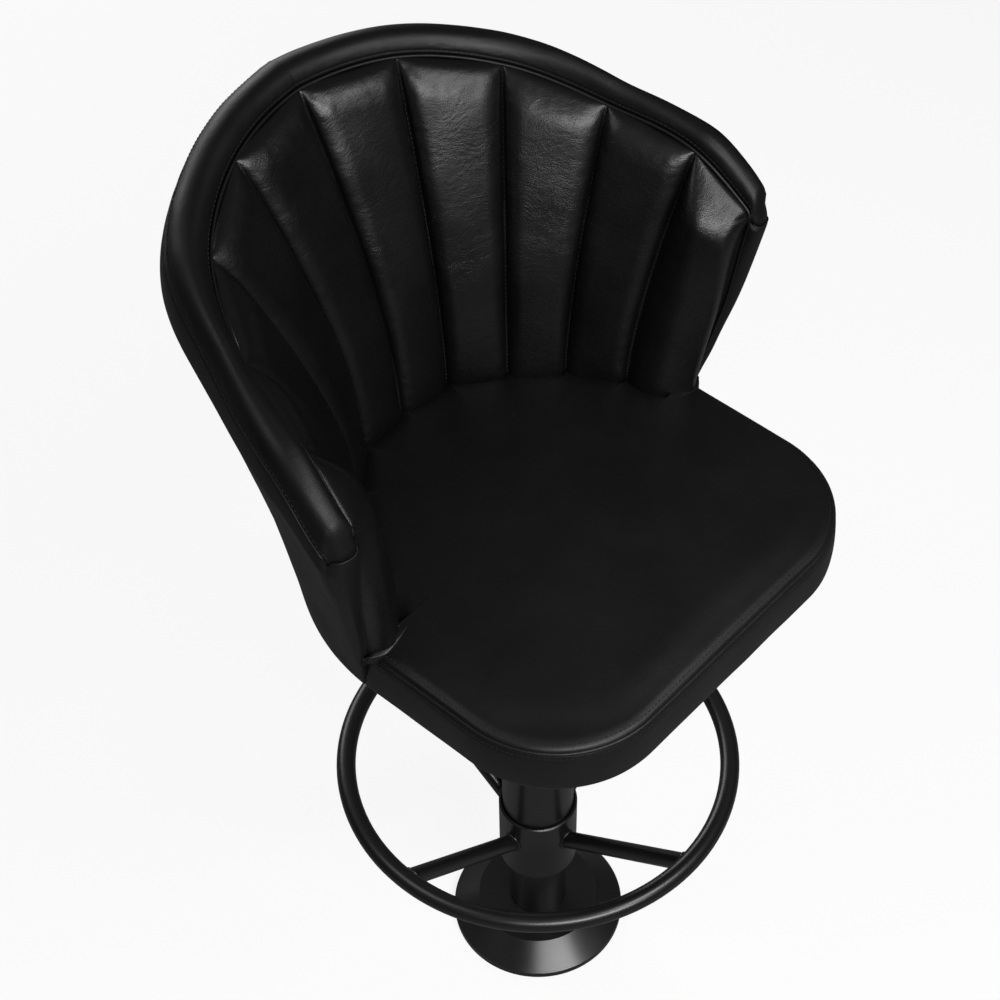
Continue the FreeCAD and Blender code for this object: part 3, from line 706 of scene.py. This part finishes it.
def rim_half(side, name, node_name):
    """Half of the padded rim, from the middle of the back to an arm's front."""
    shares = 0.0012 + (1 - 0.0012) * spacing(170, 0.4)
    half_run = 480.0
    sections, under, sinks = [], [], []
    for share in shares:
        s = station(side * share)
        points, sink, at, total = rim_section(s)
        sections.append(s.rim(points[:, 0], points[:, 1]))
        sinks.append(sink)
        base = np.array([[s.width - 8, -19.0], [s.width / 2, -20.0], [9.0, -14.0], [7.0, -4.0]])
        under.append(s.rim(base[:, 0], base[:, 1]))
    sections, under, sinks = np.array(sections), np.array(under), np.array(sinks)
    for grid in (sections, under):
        grid += end_shift(grid[-1], side) * smooth((shares - 0.88) / 0.12)[:, None, None]
    # An arm's end is round: the roll turns over it, and its swell turns to the front
    front = end_plane(side)[1]
    across = np.linspace(0, 1, sections.shape[1])
    chord = sections[:, :1] + (sections[:, -1:] - sections[:, :1]) * across[:, None]
    high = np.clip((sections - chord)[..., 2], 0, None)
    tip = (1 - np.clip(behind_end(sections, side) / end_round, 0, 1)) * math.pi / 2
    lean = (np.cos(tip) - 1)[..., None] * UP + end_swell * np.sin(tip)[..., None] * front
    sections = over_end(sections + high[..., None] * lean, side)
    square_end = sections[-1].copy()
    back = 9.0 * (1 - np.clip(behind_end(under, side) / end_round, 0, 1))
    under = drawn_back(over_end(under, side) - front * back[..., None])
    inside = np.clip((sections[:, -1:] - sections) @ station(side).out, 0, None)
    sections = drawn_back(round_corner(sections, side, inside, corner_round))
    normals = grid_normals(sections)
    if (normals[:, 28] @ UP).mean() < 0:
        normals = -normals
    sections = sections - normals * sinks[..., None]
    # The leather is drawn in where the band is joined across, and ripples near its seams
    join = 0.7 * bell((1 - shares) * half_run, 0, 1.6) + bell(shares * half_run, 0, 1.6)
    middle = smooth(np.minimum(across, 1 - across) * 8)
    near = bell(at, 9, 4.0) + bell(total - at, 9, 4.0)
    slow = wobble(sections, 38.0, 60 + side)
    ripple = wobble(sections, 8.0, 70 + side)
    shift = -0.9 * join[:, None] + 0.55 * slow * middle + 0.35 * ripple * near
    sections = sections + normals * shift[..., None]
    rings = np.concatenate([sections, under], axis=1)
    stuffed(name, rings, leather_rim, (node_name,), flip=side > 0)
    return sections, normals, square_end, at, total


rim_left = rim_half(-1.0, "rim_left", "rim_roll_left")
rim_right = rim_half(1.0, "rim_right", "rim_roll_right")

rows = []
for sections, normals, _, at, total in (rim_left, rim_right):
    for place in (rim_stitch_insets[0], total - rim_stitch_insets[1]):
        column = int(np.argmin(np.abs(at - place)))
        rows.append((sections[1:-2, column], normals[1:-2, column]))
stitches("rim_stitches", rows, black_thread, lift=0.25)

path = np.array([station(float(share)).rim(0.2, -0.2) for share in np.linspace(-1, 1, 400)])
path = np.concatenate([over_end(path[:200], -1.0), over_end(path[200:], 1.0)])
piping("rim_piping", drawn_back(path), 1.8, leather_rim, replaces=("rim_welt",))

# The rim is joined across at the arms' ends and at the middle of the back
for name, (sections, normals, *_) in (("left", rim_left), ("right", rim_right)):
    path = sections[-1, 8:-15] + normals[-1, 8:-15] * 0.1
    piping("cross_piping_" + name, path, 0.9, leather_rim, step=2.0)
    if name == "left":
        path = sections[0, 2:-2] + normals[0, 2:-2] * 0.2
        piping("centre_piping_left", path, 0.7, leather_rim, step=2.0)


# Outside of the back, with the arms' fronts in the same piece of leather

def wall_column(s, rows_up):
    """Points up the outside at a station, from the lower edge over the bulge to the outer seam."""
    straight = rows_up[rows_up <= wall_share] / wall_share
    lower = s.outer(seat_underside + (s.bulge_height - seat_underside) * straight)
    turn = (rows_up[rows_up > wall_share] - wall_share) / brow_share
    upper = brow(s, math.pi / 2 - (math.pi / 2 - seam_turn(s)) * turn)
    return np.concatenate([lower, s.rim(upper[:, 0], upper[:, 1])])


def arm_front(side, square_end, corner, rows_up):
    """An arm's front from its inner seam to its corner, and how round the corner is."""
    s = station(side)
    normal = end_plane(side)[1]
    straight = np.clip(rows_up / wall_share, 0, 1)
    turn = np.clip((rows_up - wall_share) / brow_share, 0, 1)
    heights = seat_underside + (s.bulge_height - seat_underside) * straight
    heights = heights + (s.height - s.bulge_height) * turn
    inner = s.inner(heights) + end_shift(s.inner(heights), side)
    edge = np.array([side * (seat_half_width - 1.0), 0.0, 0.0]) + UP * heights[:, None]
    edge = edge + end_shift(edge, side)
    inner = edge + (inner - edge) * smooth((heights - 700) / 20)[:, None]
    inner = over_end(inner, side, smooth((rows_up - 0.5) / 0.5))
    share = spacing(25, 0.3)
    front = inner[:, None] + (corner - inner)[:, None] * share[:, None]
    # It swells to the front, most under the rim
    run = run_of(square_end)
    top = picked(square_end, run, share * run[-1])
    chord = square_end[0] + (square_end[-1] - square_end[0]) * share[:, None]
    lift = smooth((rows_up - 0.35) / 0.65)[:, None]
    swell = np.sin(np.pi * share) * 3.0 * smooth((heights - 720) / 50)[:, None] * (1 - lift)
    front = front + (top - chord) * lift[..., None] + normal * swell[..., None]
    radius = 5.0 + (corner_round - 5.0) * smooth((heights - seat_underside - 20) / 200)
    inside = np.clip((front[:, -1:] - front) @ s.out, 0, None)
    front = round_corner(front, side, inside, radius[:, None])
    # The inner edge turns back along the side of the pad
    front[:, 0] -= normal * 5.0 + s.out * 1.0
    front[:, 1] -= normal * 1.2
    return front, radius


def outer_cover():
    """The leather of the outside with both arms' fronts; it takes the place of the foam under it,
    which is hidden.
    """
    rows_up = np.concatenate([np.linspace(0, wall_share, 70),
                              wall_share + brow_share * spacing(24, 0.3)[1:]])
    shares = 2 * spacing(321, 0.5) - 1
    wall = np.array([wall_column(station(float(share)), rows_up) for share in shares])
    down = smooth((rows_up - 0.5) / 0.5)
    fronts = []
    halves = ((-1, rim_left, 0, slice(0, 160)), (1, rim_right, -1, slice(161, None)))
    for side, rim, end, half in halves:
        weight = smooth((np.abs(shares) - 0.88) / 0.12) * (shares * side > 0)
        wall += end_shift(wall[end], side) * weight[:, None, None]
        wall[half] = over_end(wall[half], side, down)
        front, radius = arm_front(side, rim[2], wall[end].copy(), rows_up)
        wall[half] = round_corner(wall[half], side, 0.0, radius)
        front[:, -1] = wall[end]
        fronts.append(front.transpose(1, 0, 2))
    grid = np.concatenate([fronts[0][:-1], wall, fronts[1][::-1][1:]])
    # The bend from the wall into the bulge is eased
    for _ in range(4):
        grid[:, 62:80] += 0.25 * (grid[:, 61:79] - 2 * grid[:, 62:80] + grid[:, 63:81])
    grid = drawn_back(grid)
    normals = grid_normals(grid)
    middle = len(grid) // 2
    if normals[middle, 30, 1] < 0:
        normals = -normals
    # Slow unevenness, pleats under the rim, the centre seam, and the edge tucked under the rim
    slow = wobble(grid, 60.0, 90)
    pleat = wobble(grid * upright_folds, 11.0, 91)
    fade = smooth(rows_up / 0.05) * smooth((1 - rows_up) / 0.04)
    near_top = bell(rows_up, 1, 0.05)
    place = np.arange(len(grid))[:, None]
    seam = bell(place, middle, 0.9)
    edge_in = smooth((np.minimum(place, len(grid) - 1 - place)) / 6.0)
    shift = (0.9 * slow * edge_in + 0.5 * pleat * near_top * edge_in) * fade - 1.1 * seam
    tuck = -1.6 * bell(rows_up, 1, 0.012)
    grid = grid + normals * (shift + tuck)[..., None]
    # The leather turns under the seat board at its lower edge
    grid = hemmed(grid, ((24.0, 0.5), (12.0, 0.3), (4.0, 0.1), (1.0, 0.4)))
    grid[:, 4] += UP * 1.6
    inside = grid.copy()
    inside[:, 4:] -= normals * 1.8
    inside[:, :5] = grid[:, :5] + UP * 1.8
    stuffed("outer_cover", np.concatenate([grid, inside[:, ::-1]], axis=1), leather_outer,
            ("outer_back_cover", "arm_facing_left", "arm_facing_right", "back_foam"), True)
    return grid, normals


outer_grid, outer_normals = outer_cover()

middle = len(outer_grid) // 2
rows = [(outer_grid[n, 6:-3], outer_normals[n, 2:-3]) for n in (middle - 2, middle + 2)]
stitches("outer_stitches", rows, black_thread)

for name, side in (("left", -1.0), ("right", 1.0)):
    s = station(side)
    path = s.inner(np.linspace(seam_height + 2, s.height - end_round, 60))
    path = drawn_back(path + end_shift(path, side))
    piping("arm_piping_" + name, path, 1.1, leather_rim, replaces=("arm_welt_" + name,))


# Seat

def seat_outline(inset, count=60):
    """Half the outline round the front, from the middle of the front to the side at y = 0."""
    half = seat_half_width - inset
    front = -(seat_front_reach - inset)
    corner = seat_corner_radius - inset
    straight = np.linspace(0, half - corner, count // 3, endpoint=False)
    turn = np.radians(np.linspace(-90, 0, count // 2, endpoint=False))
    side = np.linspace(front + corner, 0, count // 3)
    x = np.concatenate([straight, half - corner + corner * np.cos(turn), np.full(len(side), half)])
    y = np.concatenate([np.full(len(straight), front),
                        front + corner + corner * np.sin(turn), side])
    return np.stack([x, y], 1)


def cushion():
    """Top of the seat: crowned, rolled at its sewn edge, drawn round the channels' feet."""
    front = seat_outline(1.2, 90)
    front = front[front[:, 1] < -8.0]
    # Behind the arms' fronts the edge follows the channels' feet, tucked a little under them
    feet = []
    for grid in reversed(channels[5:]):
        level = int(np.argmin(np.abs(grid[:, 20, 2] - 744)))
        feet.append(grid[level][::-1, :2])
    feet = np.concatenate(feet)
    feet = feet + unit(feet - np.array([0.0, back_centre_offset])) * 4.5
    whole = loop_of(np.concatenate([front, feet]))
    at_back = np.concatenate([np.zeros(len(front) + 1), np.ones(len(feet) - 1)])
    at_back = np.concatenate([at_back, at_back[::-1][1:-1]])
    for _ in range(8):
        at_back = 0.25 * np.roll(at_back, 1) + 0.5 * at_back + 0.25 * np.roll(at_back, -1)
    # Rings from the edge to the middle, soon free of the corners that the arms make in the edge
    length = np.linalg.norm(np.roll(whole, -1, axis=0) - whole, axis=1)
    turn = 2 * np.pi * (np.concatenate([[0], np.cumsum(length)[:-1]]) / length.sum())
    calm = np.stack([205 * np.sin(turn), -200 * np.cos(turn)], 1)
    near_edge = [0.0, 0.002, 0.006, 0.012, 0.02, 0.03, 0.042, 0.056, 0.075]
    rings, ways = [], []
    for k in 1 - np.concatenate([near_edge, np.linspace(0.1, 0.97, 36)]):
        mixed = smooth((1 - k) / 0.5)
        place = seat_centre + ((whole - seat_centre) * (1 - mixed) + calm * mixed) * k
        away = np.linalg.norm(place - whole, axis=1)
        reach = np.linalg.norm(place * np.array([1.0, 0.97]), axis=1)
        dome = (seat_crown - 11.0) * (1 - np.clip(reach / 262, 0, 1) ** 2.0)
        roll = np.clip(1 - (1 - np.clip(away / 12.0, 0, 1)) ** 2.4, 0, 1)
        sewn = 0.75 * np.sqrt(roll) + 0.25 * smooth(away / 45.0)
        fall = at_back * (1 - 0.35 * np.exp(-away / 10.0)) + (1 - at_back) * sewn
        z = seam_height + 0.6 + 10.4 * fall + dome * smooth(away / 60.0 + 0.35 + 0.3 * at_back)
        z = z - 0.7 * bell(away, seat_stitch_inset, 1.0) * (1 - at_back)
        rings.append(np.concatenate([place, z[:, None]], axis=1))
        ways.append(away)
    rings, away = np.array(rings), np.array(ways)
    slow = wobble(rings, 120.0, 120) + wobble(rings, 30.0, 121) * 0.12
    rings[..., 2] += slow * smooth(away / 25.0)
    under = [at_height(seat_centre + (whole - seat_centre) * k, seam_height + 0.1)
             for k in (0.5, 1.0)]
    stuffed("seat_top", np.concatenate([under, rings]), leather_seat,
            ("seat_cushion", "seat_foam"))
    return rings, len(front)


cushion_rings, front_count = cushion()


def border():
    """Band round the front and sides of the seat, turned under at its lower edge."""
    half = seat_outline(0.0, 120)
    rows_up = np.concatenate([[0.0], np.linspace(0.02, 0.98, 30), [1.0]])
    tangent = unit(np.gradient(half, axis=0))
    outward = np.stack([tangent[:, 1], -tangent[:, 0]], 1)
    # How far the band stands out: full in the middle, drawn in at its edges and by its thread
    up, down = rows_up * band_height, (1 - rows_up) * band_height
    full = 1.6 * np.sin(np.pi * rows_up) ** 0.6 - 1.4 * bell(down, 0, 2.0)
    full = full - 2.2 * bell(up, 0, 2.2) - 0.8 * bell(down, band_stitch_drop, 1.0)
    heights = seat_underside + (seam_height - 0.8 - seat_underside) * rows_up
    grid = np.stack([at_height(half + outward * f, z) for f, z in zip(full, heights)], axis=1)
    # Its ends lie against the arms' fronts and turn in
    origin, normal = end_plane(1.0)
    x, z = grid[-1, :, 0] - origin[0], grid[-1, :, 2] - origin[2]
    ends = origin[1] - (normal[0] * x + normal[2] * z) / normal[1]
    y = grid[..., 1]
    grid[..., 1] = np.where(y > -60, -60 + (y + 60) * ((ends + 59) / 60), y)
    tucked = grid[-1:] + np.array([[[-5.0, 9.0, 0.0]]])
    grid = mirrored(np.concatenate([grid, (grid[-1:] + tucked) / 2, tucked]))
    normals = grid_normals(grid)
    if normals[len(grid) // 2, 15, 1] > 0:
        normals = -normals
    shift = 0.8 * wobble(grid, 42.0, 130) * smooth(rows_up / 0.1) * smooth((1 - rows_up) / 0.2)
    grid = grid + normals * shift[..., None]
    grid = hemmed(grid, ((26.0, 0.5), (12.0, 0.3), (3.0, 0.1)))
    grid[:, 3] += UP * 0.8
    inside = grid.copy()
    inside[:, 3:] -= normals * 3.0
    inside[:, :4] += UP * 2.0
    stuffed("seat_band", np.concatenate([grid, inside[:, ::-1]], axis=1), leather_seat,
            ("seat_border",))
    return grid, normals, rows_up


band_grid, band_normals, band_rows = border()

outline = seat_outline(2.0, 120)
path = at_height(mirrored(outline[outline[:, 1] < -12.0]), seam_height)
piping("seat_piping", path, 2.1, leather_seat, replaces=("seat_welt",))

top_row = []
for line in cushion_rings.transpose(1, 0, 2)[:front_count - 2]:
    away = np.linalg.norm(line[:, :2] - line[0, :2], axis=1)
    top_row.append(picked(line, away, [seat_stitch_inset])[0])
top_row = mirrored(np.array(top_row))
band_column = 3 + int(np.argmin(np.abs((1 - band_rows) * band_height - band_stitch_drop)))
stitches("seat_stitches", [
    (top_row, np.tile(UP, (len(top_row), 1))),
    (band_grid[3:-3, band_column], band_normals[3:-3, band_column - 3]),
], black_thread, lift=0.2)


# Lining under the seat, a sheet stapled to the board

def under_lining():
    """The lining's sheet, a little loose between its stapled edge and the seat plate."""
    back = np.radians(np.linspace(90, 0, 40)[1:])
    arc = (seat_half_width - lining_inset) * np.stack([np.sin(back), np.cos(back)], 1)
    whole = loop_of(np.concatenate([seat_outline(lining_inset, 60), arc]))
    k = np.linspace(1.0, 0.04, 26)
    rings = np.array([at_height(whole * share, seat_underside - 0.6) for share in k])
    k = k[:, None]
    sag = wobble(rings, 40.0, 140) * 0.5 * smooth((1 - k) / 0.1)
    rings[..., 2] += sag * smooth((k - 0.62) / 0.2)
    verts = rings.reshape(-1, 3)
    faces = ring_faces(len(rings), len(whole))
    faces.append(tuple(range(len(verts) - len(whole), len(verts))))
    obj = add_object("under_lining", verts, faces, lining, ("dust_cover",), slot="lining_cloth")
    return whole


path = at_height(under_lining() * 0.975, seat_underside - 0.7)
path = np.concatenate([path, path[:1]])
staples = stitches("lining_staples", [(path, np.tile(-UP, (len(path), 1)))], bare_steel,
                   length=11.0, gap=24.0, radius=0.55, lift=0.2)


# Rigid pieces

finishes = {
    "black_metal": satin_black,
    "bare_steel": bare_steel,
    "bush_plastic": plastic,
    "plywood": board_wood,
    "black_leather": leather_outer,
    "foam": board_wood,
    "lining_cloth": lining,
}
slots = {row["node"]: row.get("material_slot") for row in frame["record"]["subparts"]}
for name, obj in frame["nodes"].items():
    obj.data.materials.clear()
    obj.data.materials.append(finishes[slots[name]])

# The footrest of the part's source, in millimetres
hub_radius, spoke_radius, spoke_height = 45.3, 9.8, 187.6
ring_radius, ring_bar, ring_height = 215.0, 10.7, 313.5


def weld(name, centre, axis, radius, bead, slide):
    """A weld bead round a joint, with its rippled laps; slide carries a point onto the joint."""
    side = unit(np.cross(axis, UP))
    other = np.cross(axis, side)
    circle = np.linspace(0, 2 * np.pi, 8, endpoint=False)
    rings = []
    for t in np.linspace(0, 2 * math.pi, 73)[:-1]:
        out = math.cos(t) * side + math.sin(t) * other
        lap = bead * (1 + 0.12 * math.cos(t * 26))
        at = slide(centre + out * radius, axis)
        rings.append([at + lap * (math.cos(c) * out + math.sin(c) * axis) for c in circle])
    last = (len(rings) - 1) * 8
    faces = ring_faces(len(rings), 8)
    faces += [(last + j, last + (j + 1) % 8, (j + 1) % 8, j) for j in range(8)]
    add_object(name, np.array(rings).reshape(-1, 3), faces, satin_black,
               body="base", slot="black_metal")


def onto_hub(at, axis):
    """Slides a point along a spoke until it meets the hub."""
    along = (hub_radius + 0.4 - math.hypot(at[0], at[1])) / math.hypot(axis[0], axis[1])
    return at + axis * along


def onto_ring(at, axis):
    """Slides a point along a spoke until it meets the ring's bar."""
    low, high = -40.0, 10.0
    for _ in range(30):
        middle = (low + high) / 2
        p = at + axis * middle
        gap = math.hypot(math.hypot(p[0], p[1]) - ring_radius, p[2] - ring_height) - ring_bar
        low, high = (middle, high) if gap > 0.3 else (low, middle)
    return at + axis * low


for k in range(4):
    turn = math.radians(90 * k)
    heading = np.array([math.cos(turn), math.sin(turn), 0.0])
    start = heading * hub_radius + UP * spoke_height
    end = heading * ring_radius + UP * ring_height
    axis = unit(end - start)
    weld("hub_weld_" + str(k + 1), start, axis, spoke_radius + 0.6, 1.7, onto_hub)
    weld("ring_weld_" + str(k + 1), end, axis, spoke_radius * 0.97, 1.6, onto_ring)


# Floor, lights and camera

def seen_rays(tree):
    """1 for camera and transmission rays, which see the white studio."""
    rays = new_node(tree, "LightPath").outputs
    return maths("MAXIMUM", rays["Is Camera Ray"], rays["Is Transmission Ray"])


def mixed_surface(share, first, second, output):
    """Sends a mix of two closures to the output node."""
    tree = share.id_data
    mix = new_node(tree, "MixShader")
    for source, socket in zip((share, first, second), mix.inputs):
        tree.links.new(source, socket)
    filled(tree.nodes[output], Surface=mix.outputs["Shader"])


def floor():
    """Paper, white to the camera and grey in the leather's gloss."""
    size = 6.0
    mesh = bpy.data.meshes.new("floor")
    corners = [(-size, -size, 0), (size, -size, 0), (size, size, 0), (-size, size, 0)]
    mesh.from_pydata(corners, [], [(0, 1, 2, 3)])
    material, tree, shader = new_material("floor_paper")
    seen = seen_rays(tree)
    two_tones(shader, seen, (0.2,) * 3, (0.9,) * 3)
    filled(shader, Roughness=0.9, **{"Specular IOR Level": 0.1})
    glow = new_node(tree, "Emission", Color=(1, 1, 1, 1), Strength=1.0)
    mixed_surface(maths("MULTIPLY", seen, 0.85), shader.outputs["BSDF"],
                  glow.outputs["Emission"], "Material Output")
    mesh.materials.append(material)
    obj = linked("floor", mesh)
    obj.location.z = -0.0005


def studio():
    """The world: white to the camera, a dim sky that brightens upward to the rest."""
    world = bpy.data.worlds.new("studio")
    bpy.context.scene.world = world
    world.use_nodes = True
    tree = world.node_tree
    place = new_node(tree, "TexCoord").outputs["Generated"]
    height = new_node(tree, "SeparateXYZ", Vector=place).outputs["Z"]
    sky = filled(tree.nodes["Background"], Color=(0.5, 0.49, 0.48, 1),
                 Strength=ramp(height, 0.05, 0.75, 0.03, 0.3))
    white = new_node(tree, "Background", Color=(1, 1, 1, 1), Strength=1.0)
    mixed_surface(seen_rays(tree), sky.outputs["Background"], white.outputs["Background"],
                  "World Output")


floor()
studio()


def area_light(name, azimuth, elevation, distance, size, power, aim=(0, 0, 0.85)):
    """A soft lamp that faces aim, its azimuth from -Y toward +X, in degrees."""
    data = bpy.data.lights.new(name, "AREA")
    data.shape = "RECTANGLE"
    data.size, data.size_y = size
    data.energy = power
    obj = linked(name, data)
    a, e = math.radians(azimuth), math.radians(elevation)
    away = Vector((math.sin(a) * math.cos(e), -math.cos(a) * math.cos(e), math.sin(e)))
    obj.location = Vector(aim) + away * distance
    obj.rotation_euler = (-away).to_track_quat("-Z", "Y").to_euler()


area_light("key", -26, 29, 2.8, (2.1, 0.45), 76)
area_light("top", 12, 45, 2.6, (1.1, 0.8), 30)
area_light("back", -122, 50, 2.8, (1.2, 1.2), 12)
area_light("fill", 165, 14, 3.0, (2.4, 1.2), 30)

camera_data = bpy.data.cameras.new("camera")
camera_data.sensor_width = 36.0
camera_data.lens = 74.376
camera_data.shift_x = -0.038
camera_data.shift_y = 0.0015
camera = linked("camera", camera_data)
camera.location = (-1.0188, -0.8919, 2.218)
camera.rotation_euler = Euler((math.radians(42.4), 0.0, math.radians(-48.8)))
bpy.context.scene.camera = camera
bpy.context.scene.view_settings.view_transform = "Standard"
